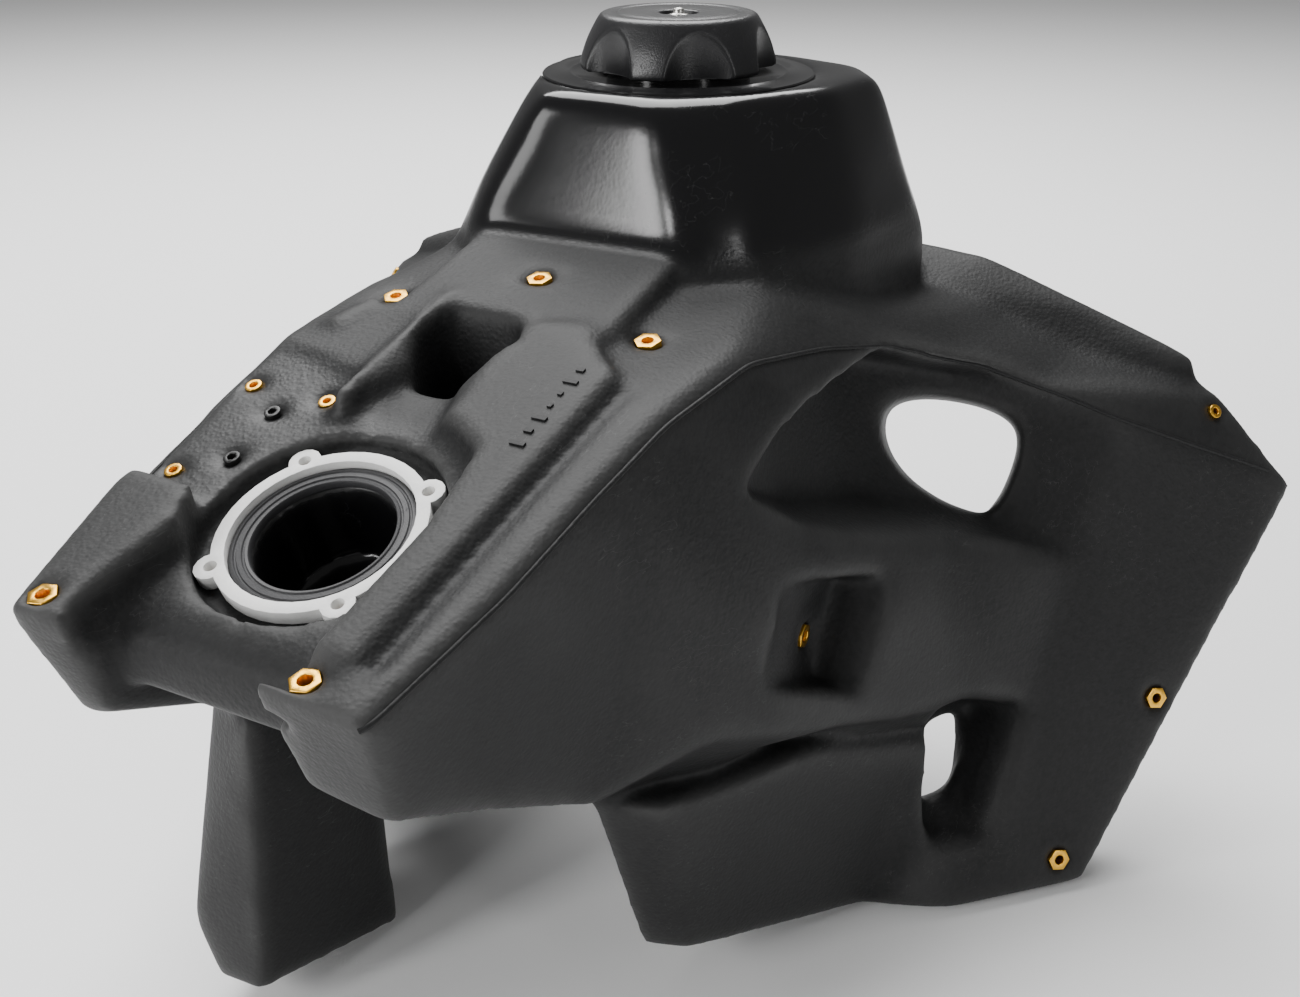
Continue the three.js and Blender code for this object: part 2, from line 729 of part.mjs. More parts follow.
function plugScrewCuts() {
  const { radius, length, sides } = PLUG_SCREW;
  return PLUG_SCREW_PLACES.map((at) => along(at, PUMP_NORMAL, 8)).map((above) => ({
    outer: rod(above, PUMP_NORMAL, radius + CLEARANCE, length + 8.2, sides),
    inner: rod(above, PUMP_NORMAL, radius + BOSS_WALL, length + 8 + BOSS_WALL, 8),
  }));
}

// ---- filler neck and cap --------------------------------------------------------------------

// Turns a closed outline of [radius, z] points about the filler's axis
function turned(outline, segments = 36) {
  const points = [...outline, outline[0]].map(([r, z]) => new THREE.Vector2(r, z));
  const geometry = new THREE.LatheGeometry(points, segments);
  geometry.rotateX(Math.PI / 2);
  return toSolid(geometry);
}

function fillerNeck() {
  const flangeTop = DOME_TOP_Z;
  const flangeBottom = DOME_TOP_Z - FLANGE_HEIGHT;
  return turned([
    [NECK_INNER_R, NECK_BOTTOM_Z],
    [NECK_OUTER_R, NECK_BOTTOM_Z],
    [NECK_OUTER_R, flangeBottom],
    [SEAM_R, flangeBottom],
    [SEAM_R, flangeTop],
    [NECK_OUTER_R, flangeTop],
    [NECK_OUTER_R, NECK_TOP_Z],
    [NECK_INNER_R, NECK_TOP_Z],
  ], 40);
}

// Scoop between two lobes: wide at the bottom of the cap, and pointed under its rim
function capScoop(angle) {
  const steps = 20;
  const points = [[SCOOP_FLOOR_R, 0, SCOOP_TOP_Z], [SCOOP_FLOOR_R + 24, 0, SCOOP_TOP_Z]];
  for (let i = 0; i < steps; i += 1) {
    const around = i * 2 * Math.PI / steps;
    const x = SCOOP_FLOOR_R + SCOOP_R - SCOOP_R * Math.cos(around);
    points.push([x, SCOOP_R * Math.sin(around), -2]);
  }
  return hull(points.map(([x, y, z]) => [
    x * Math.cos(angle) - y * Math.sin(angle),
    x * Math.sin(angle) + y * Math.cos(angle),
    z,
  ]));
}

function capGrip() {
  const body = turned([
    [0, -0.6 + DOME_TOP_Z + 2],
    [CAP_STAR_R - 0.8, -0.1],
    [CAP_STAR_R, 1.5],
    [CAP_STAR_R - 1.2, 7],
    [CAP_TOP_R + 2, CAP_HEIGHT - 3],
    [CAP_TOP_R, CAP_HEIGHT - 0.6],
    [CAP_TOP_R - 2, CAP_HEIGHT],
    [0, CAP_HEIGHT],
  ], 48);
  const scoops = Array.from({ length: CAP_LOBES }, (_, i) => (
    capScoop((i + 0.5) * 2 * Math.PI / CAP_LOBES + CAP_LOBE_TURN)));
  const hollow = rod(v(0, 0, CAP_DISC_Z + CAP_DISC_HEIGHT + CLEARANCE), UP, NECK_OUTER_R + 1.6, 20, 48);
  const recess = rod(v(0, 0, CAP_HEIGHT + 1), UP, VENT_RECESS_R, VENT_RECESS_DEPTH + 1, 32);
  const bore = rod(v(0, 0, CAP_HEIGHT), UP, VENT_STEM_R + CLEARANCE, 20, 20);
  return body.subtract(join(scoops)).subtract(hollow).subtract(recess).subtract(bore);
}

function capPlug() {
  const skirtInner = 24;
  const skirtOuter = NECK_INNER_R - 0.8;
  const disc = NECK_OUTER_R + 0.8;
  const bore = VENT_STEM_R + CLEARANCE;
  return turned([
    [bore, CAP_DISC_Z],
    [skirtInner, CAP_DISC_Z - 0.3],
    [skirtInner, -12],
    [skirtOuter, -12],
    [skirtOuter, CAP_DISC_Z],
    [disc, CAP_DISC_Z],
    [disc, CAP_DISC_Z + CAP_DISC_HEIGHT],
    [bore, CAP_DISC_Z + CAP_DISC_HEIGHT],
  ]);
}

function capGasket() {
  const bottom = NECK_TOP_Z + CLEARANCE;
  const top = CAP_DISC_Z - CLEARANCE;
  return turned([
    [NECK_INNER_R + 0.2, bottom],
    [NECK_OUTER_R + 0.4, bottom],
    [NECK_OUTER_R + 0.4, top],
    [NECK_INNER_R + 0.2, top],
  ]);
}

function ventFitting() {
  const seat = CAP_HEIGHT - VENT_RECESS_DEPTH + CLEARANCE;
  return turned([
    [1.1, 4],
    [VENT_STEM_R, 4],
    [VENT_STEM_R, seat],
    [5.6, seat],
    [5.6, seat + 2.2],
    [3.4, seat + 2.8],
    [2.6, seat + 3.4],
    [2.6, seat + 5.2],
    [1.1, seat + 5.2],
  ], 24);
}

function ventNut() {
  const top = CAP_DISC_Z - CLEARANCE - 0.3;
  const hole = rod(v(0, 0, top + 1), UP, VENT_STEM_R + CLEARANCE, 8, 20);
  return rod(v(0, 0, top), UP, 6.4, 4, 6).subtract(hole);
}

const tank = new THREE.Group();

function addPart(name, solid, material) {
  const mesh = new THREE.Mesh(toGeometry(solid), material);
  mesh.name = name;
  tank.add(mesh);
}

addPart('tank_shell', tankShell(), black);
addPart('filler_neck', fillerNeck(), black);
addPart('cap_grip', capGrip(), capBlack);
addPart('cap_plug', capPlug(), capBlack);
addPart('cap_gasket', capGasket(), rubber);
addPart('vent_fitting', ventFitting(), steel);
addPart('vent_nut', ventNut(), steel);
addPart('pump_ring', pumpRing(), white);
addPart('pump_seal', pumpSeal(), rubber);
PLUG_SCREW_PLACES.forEach((at, i) => addPart(`plug_screw_${i + 1}`, plugScrew(at), capBlack));
for (const place of [...inserts, ...pumpInserts()]) addPart(place.name, makeInsert(place), brass);

// The origin moves to the surface that the tank stands on, under the middle of its box
tank.updateMatrixWorld(true);
const box = new THREE.Box3().setFromObject(tank);
tank.position.set(-(box.min.x + box.max.x) / 2, -(box.min.y + box.max.y) / 2, -box.min.z);

export default tank;
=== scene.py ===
# %% [markdown]
# # A large moulded fuel tank
# The real tank is one hollow plastic moulding with a screw cap, a pump opening and
# brass threads set into it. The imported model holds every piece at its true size, so the
# scene loads it first and then gives each piece its finished surface.

# %% Load the frame
import math
import bmesh
import bpy
import numpy as np
from mathutils import Matrix, Vector
from mathutils.bvhtree import BVHTree
from mathutils.kdtree import KDTree


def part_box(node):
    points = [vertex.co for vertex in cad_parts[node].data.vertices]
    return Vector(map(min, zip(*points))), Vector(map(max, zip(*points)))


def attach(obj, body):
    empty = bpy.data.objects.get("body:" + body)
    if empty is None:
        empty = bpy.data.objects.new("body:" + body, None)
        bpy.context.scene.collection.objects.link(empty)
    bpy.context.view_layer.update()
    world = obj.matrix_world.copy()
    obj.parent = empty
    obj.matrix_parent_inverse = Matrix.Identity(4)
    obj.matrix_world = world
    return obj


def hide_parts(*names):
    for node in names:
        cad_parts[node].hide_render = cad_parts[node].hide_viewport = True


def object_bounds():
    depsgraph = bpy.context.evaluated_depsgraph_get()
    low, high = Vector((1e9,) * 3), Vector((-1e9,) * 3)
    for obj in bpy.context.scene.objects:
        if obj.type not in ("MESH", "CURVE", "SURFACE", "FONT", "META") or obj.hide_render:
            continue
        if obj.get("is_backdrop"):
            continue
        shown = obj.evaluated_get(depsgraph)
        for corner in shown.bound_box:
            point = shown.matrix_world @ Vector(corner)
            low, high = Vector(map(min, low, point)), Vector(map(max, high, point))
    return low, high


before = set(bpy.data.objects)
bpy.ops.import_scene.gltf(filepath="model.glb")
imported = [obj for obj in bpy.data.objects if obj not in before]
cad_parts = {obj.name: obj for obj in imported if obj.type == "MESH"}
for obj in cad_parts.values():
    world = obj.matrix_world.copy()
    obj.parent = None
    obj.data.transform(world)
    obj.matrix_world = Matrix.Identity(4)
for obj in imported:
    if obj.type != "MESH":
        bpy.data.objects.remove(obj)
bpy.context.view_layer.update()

# %% [markdown]
# The shapes are easiest to think about from the filler's axis, because everything on the
# tank was laid out from it. This helper turns millimetres from that point, which lies on
# the top of the dome, into metres in the frame.

# %% Positions from the filler
NECK_TOP = 8.0
MM = 0.001
neck_low, neck_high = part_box("filler_neck")
FILLER = Vector((
    (neck_low[0] + neck_high[0]) / 2,
    (neck_low[1] + neck_high[1]) / 2,
    neck_high[2] - NECK_TOP * MM,
))


def from_filler(x, y, z):
    """A point given in millimetres from the filler, in metres in the frame."""
    return FILLER + Vector((x, y, z)) * MM


print("filler at", [round(v, 4) for v in FILLER])

# %% [markdown]
# A studio picture of a product is taken with a fairly long lens from above. The camera's
# place and its three directions are stated outright, so nothing has to track or aim.

# %% Camera
FOCAL_LENGTH = 40.48
SENSOR = 36.0
VIEW_RIGHT = Vector((0.4737, -0.8807, 0.0)).normalized()
VIEW_FORWARD = Vector((0.7954, 0.4278, -0.4293)).normalized()
camera_data = bpy.data.cameras.new("studio_camera")
camera_data.lens = FOCAL_LENGTH
camera_data.sensor_width = SENSOR
camera_data.clip_start = 0.01
camera = bpy.data.objects.new("studio_camera", camera_data)
bpy.context.scene.collection.objects.link(camera)
view_up = VIEW_RIGHT.cross(VIEW_FORWARD)
turn = Matrix((VIEW_RIGHT, view_up, -VIEW_FORWARD)).transposed().to_4x4()
camera.matrix_world = Matrix.Translation(from_filler(-640.6, -329.2, 113.8)) @ turn
bpy.context.scene.camera = camera
print("camera up", [round(v, 3) for v in view_up])

# %% [markdown]
# A plain pale floor and large soft lights show a black object best: black plastic has
# almost no colour of its own, so its form is drawn by what it reflects. One wide light
# overhead fills the top faces, and a weaker one reaches the left side from behind. Two
# narrow ones are for the gloss of the dome, and a small one is for the cap.

# %% Floor and lights
def flat_material(name, colour, roughness):
    material = bpy.data.materials.new(name)
    material.use_nodes = True
    shader = material.node_tree.nodes["Principled BSDF"]
    shader.inputs["Base Color"].default_value = (*colour, 1)
    shader.inputs["Roughness"].default_value = roughness
    return material


def area_light(name, place, target, size, power):
    data = bpy.data.lights.new(name, "AREA")
    data.shape = "RECTANGLE"
    data.size, data.size_y = size
    data.energy = power
    light = bpy.data.objects.new(name, data)
    bpy.context.scene.collection.objects.link(light)
    light.location = place
    light.rotation_euler = (Vector(target) - Vector(place)).to_track_quat("-Z", "Y").to_euler()
    return light


FLOOR_HALF = 12.0
floor_mesh = bpy.data.meshes.new("studio_floor")
corners = [(-1, -1), (1, -1), (1, 1), (-1, 1)]
floor_mesh.from_pydata([(FLOOR_HALF * x, FLOOR_HALF * y, 0) for x, y in corners], [], [(0, 1, 2, 3)])
studio_floor = bpy.data.objects.new("studio_floor", floor_mesh)
bpy.context.scene.collection.objects.link(studio_floor)
floor_mesh.materials.append(flat_material("pale_floor", (0.97, 0.97, 0.97), 0.9))
studio_floor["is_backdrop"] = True

area_light("overhead", (1.0, 0.8, 2.4), (-0.1, 0.05, 0.2), (2.2, 2.2), 150)
area_light("rear_left", (-1.5, 2.0, 1.6), (-0.1, 0.1, 0.2), (0.8, 0.8), 12)
area_light("left_strip", (-1.9, 0.9, 0.85), (0.05, 0, 0.35), (0.4, 1.4), 26)
area_light("cap_light", (-1.9, 0.3, 1.3), (0.11, 0, 0.4), (0.3, 0.4), 7)
area_light("right_strip", (-0.6, -1.8, 0.75), (0.05, 0, 0.35), (0.14, 1.3), 6)
world = bpy.data.worlds.new("studio")
bpy.context.scene.world = world
world.use_nodes = True
world.node_tree.nodes["Background"].inputs["Color"].default_value = (1, 1, 1, 1)
world.node_tree.nodes["Background"].inputs["Strength"].default_value = 0.2

# %% [markdown]
# Node trees are written out in Python here. Two small helpers keep that readable: one
# adds a node and sets its values, and one starts a group with named sockets.

# %% Node helpers
def add_node(tree, kind, **settings):
    """Adds a node, setting properties by name and inputs by socket name."""
    node = tree.nodes.new(kind)
    for key, value in settings.items():
        if hasattr(node, key):
            setattr(node, key, value)
        else:
            node.inputs[key.replace("_", " ")].default_value = value
    return node


def shader_group(name, inputs, outputs):
    """A shader node group with float inputs and outputs, and its two end nodes."""
    group = bpy.data.node_groups.new(name, "ShaderNodeTree")
    for socket, value in inputs.items():
        item = group.interface.new_socket(socket, in_out="INPUT", socket_type="NodeSocketFloat")
        item.default_value = value
    for socket in outputs:
        group.interface.new_socket(socket, in_out="OUTPUT", socket_type="NodeSocketFloat")
    return group, group.nodes.new("NodeGroupInput"), group.nodes.new("NodeGroupOutput")


def maths(tree, operation, first, second=None):
    """A Math node whose inputs are sockets or plain numbers."""
    node = tree.nodes.new("ShaderNodeMath")
    node.operation = operation
    for index, value in enumerate([first, second]):
        if value is None:
            continue
        if hasattr(value, "links"):
            tree.links.new(value, node.inputs[index])
        else:
            node.inputs[index].default_value = value
    return node.outputs[0]


print("helpers ready")

# %% [markdown]
# Moulded plastic takes its grain from the mould, which was sand-blasted: small soft
# pebbles about a millimetre apart. A noise texture gives the swelling between them and a
# Voronoi texture gives the pebbles. Both read Object coordinates, so the grain has the
# same size everywhere. It is a group, as several materials use it at their own scale.

# %% Mould grain group
PEBBLE_SHARE = 0.55
NOISE_SHARE = 0.6
NOISE_SCALE = 0.55


def mould_grain_group():
    group, start, end = shader_group("mould_grain", {"Pebbles per metre": 900.0}, ["Height", "Tone"])
    coords = group.nodes.new("ShaderNodeTexCoord")
    cells = add_node(group, "ShaderNodeTexVoronoi", feature="SMOOTH_F1")
    noise = add_node(group, "ShaderNodeTexNoise", Detail=3.0)
    for texture in (cells, noise):
        group.links.new(coords.outputs["Object"], texture.inputs["Vector"])
    group.links.new(start.outputs[0], cells.inputs["Scale"])
    group.links.new(maths(group, "MULTIPLY", start.outputs[0], NOISE_SCALE), noise.inputs["Scale"])
    pebble = maths(group, "SUBTRACT", 1.0, cells.outputs["Distance"])
    pebbles = maths(group, "MULTIPLY", pebble, PEBBLE_SHARE)
    swelling = maths(group, "MULTIPLY", noise.outputs[0], NOISE_SHARE)
    mix = maths(group, "ADD", pebbles, swelling)
    group.links.new(mix, end.inputs["Height"])
    group.links.new(noise.outputs[0], end.inputs["Tone"])
    return group


MOULD_GRAIN = mould_grain_group()
print("group", MOULD_GRAIN.name)

# %% [markdown]
# Handling leaves fine scratches and dull rubs. Stretched noise, kept only where it
# crosses the middle of its range, draws thin broken lines. A slow noise decides where
# such marks gather, and the same noise gives the patchy dullness of a wiped surface.

# %% Rub marks group
LINE_WIDTH = 0.0035
PATCH_LEVEL = 0.56


def rub_marks_group():
    group, start, end = shader_group("rub_marks", {"Amount": 0.3}, ["Scratches", "Dullness"])
    coords = group.nodes.new("ShaderNodeTexCoord")
    stretch = add_node(group, "ShaderNodeMapping")
    stretch.inputs["Scale"].default_value = (22, 190, 190)
    stretch.inputs["Rotation"].default_value = (0.4, 0.7, 0.5)
    lines = add_node(group, "ShaderNodeTexNoise", Scale=1.0, Detail=2.0)
    patches = add_node(group, "ShaderNodeTexNoise", Scale=14.0, Detail=4.0)
    group.links.new(coords.outputs["Object"], stretch.inputs["Vector"])
    group.links.new(stretch.outputs[0], lines.inputs["Vector"])
    group.links.new(coords.outputs["Object"], patches.inputs["Vector"])
    distance = maths(group, "ABSOLUTE", maths(group, "SUBTRACT", lines.outputs[0], 0.5))
    thin = maths(group, "LESS_THAN", distance, LINE_WIDTH)
    where = maths(group, "GREATER_THAN", patches.outputs[0], PATCH_LEVEL)
    scratches = maths(group, "MULTIPLY", maths(group, "MULTIPLY", thin, where), start.outputs[0])
    group.links.new(scratches, end.inputs["Scratches"])
    dullness = maths(group, "MULTIPLY", patches.outputs[0], start.outputs[0])
    group.links.new(dullness, end.inputs["Dullness"])
    return group


RUB_MARKS = rub_marks_group()
print("group", RUB_MARKS.name)

# %% [markdown]
# The materials share one pattern: a colour with a little variation, a roughness that the
# rub marks disturb, and a bump. One function lays that out, and each finish then states
# its own values. Values that are even all over stay on the shader's own sockets.

# %% A finish
def blend_colour(tree, factor, first, second):
    node = tree.nodes.new("ShaderNodeMix")
    node.data_type = "RGBA"
    tree.links.new(factor, node.inputs["Factor"])
    for name, value in (("A", first), ("B", second)):
        socket = [s for s in node.inputs if s.name == name and s.type == "RGBA"][0]
        if hasattr(value, "links"):
            tree.links.new(value, socket)
        else:
            socket.default_value = (*value, 1)
    return [s for s in node.outputs if s.type == "RGBA"][0]


def finish(name, dark, light, roughness, metallic=0.0, pebbles=900.0, bump=0.1, rubs=0.3, specular=0.5):
    material = bpy.data.materials.new(name)
    material.use_nodes = True
    tree = material.node_tree
    shader = tree.nodes["Principled BSDF"]
    shader.inputs["Metallic"].default_value = metallic
    shader.inputs["Specular IOR Level"].default_value = specular
    grain = add_node(tree, "ShaderNodeGroup", node_tree=MOULD_GRAIN)
    grain.inputs["Pebbles per metre"].default_value = pebbles
    marks = add_node(tree, "ShaderNodeGroup", node_tree=RUB_MARKS)
    marks.inputs["Amount"].default_value = rubs
    colour = blend_colour(tree, grain.outputs["Tone"], dark, light)
    tree.links.new(colour, shader.inputs["Base Color"])
    rough = maths(tree, "ADD", roughness, maths(tree, "MULTIPLY", marks.outputs["Dullness"], 0.35))
    tree.links.new(maths(tree, "ADD", rough, marks.outputs["Scratches"]), shader.inputs["Roughness"])
    relief = add_node(tree, "ShaderNodeBump", Strength=bump, Distance=0.001)
    tree.links.new(grain.outputs["Height"], relief.inputs["Height"])
    tree.links.new(relief.outputs[0], shader.inputs["Normal"])
    return material


CAP_NYLON = finish(
    "cap_nylon", (0.008, 0.008, 0.009), (0.016, 0.016, 0.017),
    0.27, pebbles=1500, bump=0.12,
)
WHITE_PLASTIC = finish(
    "white_plastic", (0.74, 0.74, 0.72), (0.84, 0.84, 0.83),
    0.42, pebbles=1300, bump=0.1,
)
SEAL_RUBBER = finish(
    "seal_rubber", (0.02, 0.02, 0.022), (0.035, 0.035, 0.037),
    0.5, pebbles=1800, bump=0.15,
)
BRASS = finish(
    "turned_brass", (0.72, 0.38, 0.04), (0.86, 0.5, 0.08),
    0.26, metallic=1.0, pebbles=2500, bump=0.08,
)
STEEL = finish(
    "plated_steel", (0.5, 0.49, 0.46), (0.68, 0.67, 0.64),
    0.2, metallic=1.0, pebbles=2500, bump=0.06,
)
BLACK_STEEL = finish(
    "black_oxide_steel", (0.012, 0.012, 0.012), (0.03, 0.03, 0.03),
    0.3, metallic=0.6, bump=0.1,
)
print("finishes", [m.name for m in bpy.data.materials])

# %% [markdown]
# The tank's own plastic has two surfaces: grain nearly everywhere, and bare gloss on the
# dome and the plate by the pump, where the mould was polished. The mesh carries an
# attribute named polish_and_bore_shade that says which is which; inside the pump's bore it
# also paints shade, as a near-black colour. One named edge marks the corners that rubbing
# has turned paler. The material mixes its colour, roughness and bump by them.

# %% Tank plastic
def tank_plastic():
    material = bpy.data.materials.new("tank_polyethylene")
    material.use_nodes = True
    tree = material.node_tree
    shader = tree.nodes["Principled BSDF"]
    polish_and_bore_shade = add_node(tree, "ShaderNodeAttribute", attribute_name="polish_and_bore_shade").outputs["Fac"]
    edge = add_node(tree, "ShaderNodeAttribute", attribute_name="edge").outputs["Fac"]
    grain = add_node(tree, "ShaderNodeGroup", node_tree=MOULD_GRAIN)
    grain.inputs["Pebbles per metre"].default_value = 620
    marks = add_node(tree, "ShaderNodeGroup", node_tree=RUB_MARKS)
    marks.inputs["Amount"].default_value = 0.3
    grained = blend_colour(tree, grain.outputs["Tone"], (0.007, 0.0072, 0.0074), (0.02, 0.0202, 0.0205))
    worn = blend_colour(tree, maths(tree, "MULTIPLY", edge, 0.45), grained, (0.085, 0.085, 0.084))
    # Near-black gloss colour on the dome and plate; inside the pump's bore and cup the same colour is
    # painted shade.
    colour = blend_colour(tree, polish_and_bore_shade, worn, (0.0045, 0.0045, 0.005))
    scratches = maths(tree, "MULTIPLY", marks.outputs["Scratches"], 0.7)
    scratched = blend_colour(tree, scratches, colour, (0.12, 0.12, 0.12))
    tree.links.new(scratched, shader.inputs["Base Color"])
    shine = maths(tree, "ADD", 0.2, maths(tree, "MULTIPLY", polish_and_bore_shade, 0.3))
    tree.links.new(shine, shader.inputs["Specular IOR Level"])
    dull = maths(tree, "MULTIPLY", marks.outputs["Dullness"], 0.3)
    rough = maths(tree, "SUBTRACT", 0.5, maths(tree, "MULTIPLY", polish_and_bore_shade, 0.39))
    tree.links.new(maths(tree, "ADD", rough, dull), shader.inputs["Roughness"])
    bare = maths(tree, "SUBTRACT", 1.0, maths(tree, "MULTIPLY", polish_and_bore_shade, 0.95))
    relief = add_node(tree, "ShaderNodeBump", Strength=0.32, Distance=0.001)
    tree.links.new(maths(tree, "MULTIPLY", grain.outputs["Height"], bare), relief.inputs["Height"])
    tree.links.new(relief.outputs[0], shader.inputs["Normal"])
    return material


TANK_PLASTIC = tank_plastic()
print("material", TANK_PLASTIC.name)

# %% [markdown]
# The imported shell is faceted and hollow. To get the soft skin of a moulding, a copy of it
# is merged into one surface, and only the outside is kept: the walls of the two bores,
# for the pump and for the filler, are where the outside ends and the inside begins. Each
# bore then gets a deep cup, because nothing further in can be seen through it; the pump's
# cup is later coloured near-black as painted shade.

# %% Outer skin of the shell
PUMP_TILT = math.radians(20.2)
PUMP_CENTRE = from_filler(-280.5, 0, -123)
PUMP_AXIS = Vector((-math.sin(PUMP_TILT), 0, math.cos(PUMP_TILT)))
UP = Vector((0, 0, 1))
BORES = [
    {"centre": PUMP_CENTRE, "axis": PUMP_AXIS, "radius": 27.5, "low": -32, "high": 12, "cup": 30},
    {"centre": FILLER, "axis": UP, "radius": 34.3, "low": -60, "high": 12, "cup": 10},
]


def merged_copy(node):
    """The node's mesh as a bmesh with its loose triangles joined."""
    work = bmesh.new()
    work.from_mesh(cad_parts[node].data)
    bmesh.ops.remove_doubles(work, verts=work.verts, dist=2e-6)
    return work


def on_bore(point, bore):
    away = (point - bore["centre"]) / MM
    along = away.dot(bore["axis"])
    radius = (away - along * bore["axis"]).length
    return abs(radius - bore["radius"]) < 0.25 and bore["low"] < along < bore["high"]


def reach(start, blocked):
    """All faces that touch the starting face without crossing blocked ones."""
    seen = {start}
    queue = [start]
    while queue:
        face = queue.pop()
        for edge in face.edges:
            for other in edge.link_faces:
                if other not in seen and other not in blocked:
                    seen.add(other)
                    queue.append(other)
    return seen


def outer_skin():
    work = merged_copy("tank_shell")
    walls = [{f for f in work.faces if all(on_bore(v.co, bore) for v in f.verts)} for bore in BORES]
    both = walls[0] | walls[1]
    top = max((f for f in work.faces if f not in both), key=lambda f: f.calc_center_median().z)
    outside = reach(top, both)
    inside = [f for f in work.faces if f not in outside and f not in both]
    bmesh.ops.delete(work, geom=inside, context="FACES")
    print("bore faces", [len(w) for w in walls], "inside faces left out", len(inside))
    for bore in BORES:
        open_edges = [e for e in work.edges if len(e.link_faces) == 1]
        rim = [e for e in open_edges if all(on_bore(v.co, bore) for v in e.verts)]
        drawn = bmesh.ops.extrude_edge_only(work, edges=rim)["geom"]
        lower = [g for g in drawn if isinstance(g, bmesh.types.BMVert)]
        bmesh.ops.translate(work, verts=lower, vec=-bore["axis"] * bore["cup"] * MM)
        open_edges = [e for e in work.edges if len(e.link_faces) == 1]
        bmesh.ops.holes_fill(work, edges=[e for e in open_edges if e.verts[0] in lower])
        bmesh.ops.triangulate(work, faces=[f for f in work.faces if len(f.verts) > 4])
    bmesh.ops.recalc_face_normals(work, faces=work.faces)
    return work


skin = outer_skin()
print("skin faces", len(skin.faces), "open edges", sum(len(e.link_faces) != 2 for e in skin.edges))

# %% [markdown]
# Where two faces of the skin meet at a steep angle there is a real edge, such as the rim
# of the pocket. Where they meet at a shallow angle the edge is only a facet of the
# drawing, and the real surface flows through it. Points are scattered on the steep edges
# and kept in a tree, so that the smoothing can tell how far each place is from one.

# %% Real edges
STEEP = math.radians(38)
SPACING = 2.0 * MM


def real_edges(work):
    points = []
    for edge in work.edges:
        if len(edge.link_faces) != 2 or edge.calc_face_angle(0) < STEEP:
            continue
        a, b = edge.verts[0].co, edge.verts[1].co
        steps = max(1, int((b - a).length / SPACING))
        points += [a.lerp(b, i / steps) for i in range(steps + 1)]
    tree = KDTree(len(points))
    for index, point in enumerate(points):
        tree.insert(point, index)
    tree.balance()
    return tree, len(points)


steep_tree, steep_count = real_edges(skin)
print("points on real edges", steep_count)

# %% [markdown]
# A voxel remesh wraps the skin in even small quads, which rounds each corner a little and
# gives the smoothing something regular to work on.

# %% Even mesh
VOXEL = 2.2 * MM


def even_mesh(work, voxel):
    mesh = bpy.data.meshes.new("skin")
    work.to_mesh(mesh)
    holder = bpy.data.objects.new("skin", mesh)
    bpy.context.scene.collection.objects.link(holder)
    remesh = holder.modifiers.new("remesh", "REMESH")
    remesh.mode = "VOXEL"
    remesh.voxel_size = voxel
    remesh.adaptivity = 0.0
    seen = holder.evaluated_get(bpy.context.evaluated_depsgraph_get())
    result = bpy.data.meshes.new_from_object(seen)
    bpy.data.objects.remove(holder)
    return result


shell_mesh = even_mesh(skin, VOXEL * (1.0))
skin.free()
print("even mesh", len(shell_mesh.vertices), "points", len(shell_mesh.polygons), "faces")

# %% [markdown]
# Smoothing moves each point towards the middle of its neighbours, over and over. How far
# it moves is a weight: small beside a real edge, large in the open, and larger on the
# dome, whose corners are wide soft curves. A few even rounds come first, because they
# give every corner the small radius that a moulding has. Then come pairs of a step in and
# a slightly longer step out, which take the ripples off an edge without shrinking it.

# %% Smoothing
EVEN_ROUNDS = 6
ROUNDS = 60
LAST_ROUNDS = 4
RIPPLE_PAIRS = 20
STEP_IN = 0.5
STEP_OUT = 0.53
OPEN_STEP = 0.6
LAST_STEP = 0.4
WEIGHT_BLUR = 6
EDGE_LEAST = 0.12
WING_LEAST = 0.33
DOME_RIM = 0.25
DOME_CORNERS = 0.55
EDGE_KEEP = 2.0 * MM
EDGE_FADE = 15 * MM


def read_points(mesh):
    points = np.empty(len(mesh.vertices) * 3)
    mesh.vertices.foreach_get("co", points)
    return points.reshape(-1, 3)


def neighbours(mesh):
    pairs = np.empty(len(mesh.edges) * 2, dtype=np.int64)
    mesh.edges.foreach_get("vertices", pairs)
    pairs = pairs.reshape(-1, 2)
    return np.concatenate([pairs[:, 0], pairs[:, 1]]), np.concatenate([pairs[:, 1], pairs[:, 0]])


def neighbour_mean(values, one, other, degree):
    total = [np.bincount(one, values[other, axis], len(values)) for axis in range(values.shape[1])]
    return np.stack(total, 1) / degree[:, None]


def dome_share(local):
    """1 on the dome and 0 away from it, from places in millimetres from the filler."""
    height = np.clip((local[:, 2] + 74) / 14, 0, 1)
    front = np.clip((98 - local[:, 0]) / 8, 0, 1) * np.clip((local[:, 0] + 104) / 6, 0, 1)
    side = np.clip((112 - np.abs(local[:, 1])) / 6, 0, 1)
    return height * front * side


def seat_share(local):
    """1 around the filler's flat seat and the pump's ledge, which stay crisp."""
    filler = np.hypot(local[:, 0], local[:, 1])
    near_seat = np.clip((74 - filler) / 4, 0, 1) * np.clip((local[:, 2] + 24) / 4, 0, 1)
    away = local - np.array([-280.5, 0, -123])
    axis = np.array(PUMP_AXIS)
    along = away @ axis
    radius = np.linalg.norm(away - along[:, None] * axis, axis=1)
    near_pump = np.clip((52 - radius) / 3, 0, 1) * np.clip((20 - np.abs(along)) / 4, 0, 1)
    return np.maximum(near_seat, near_pump)


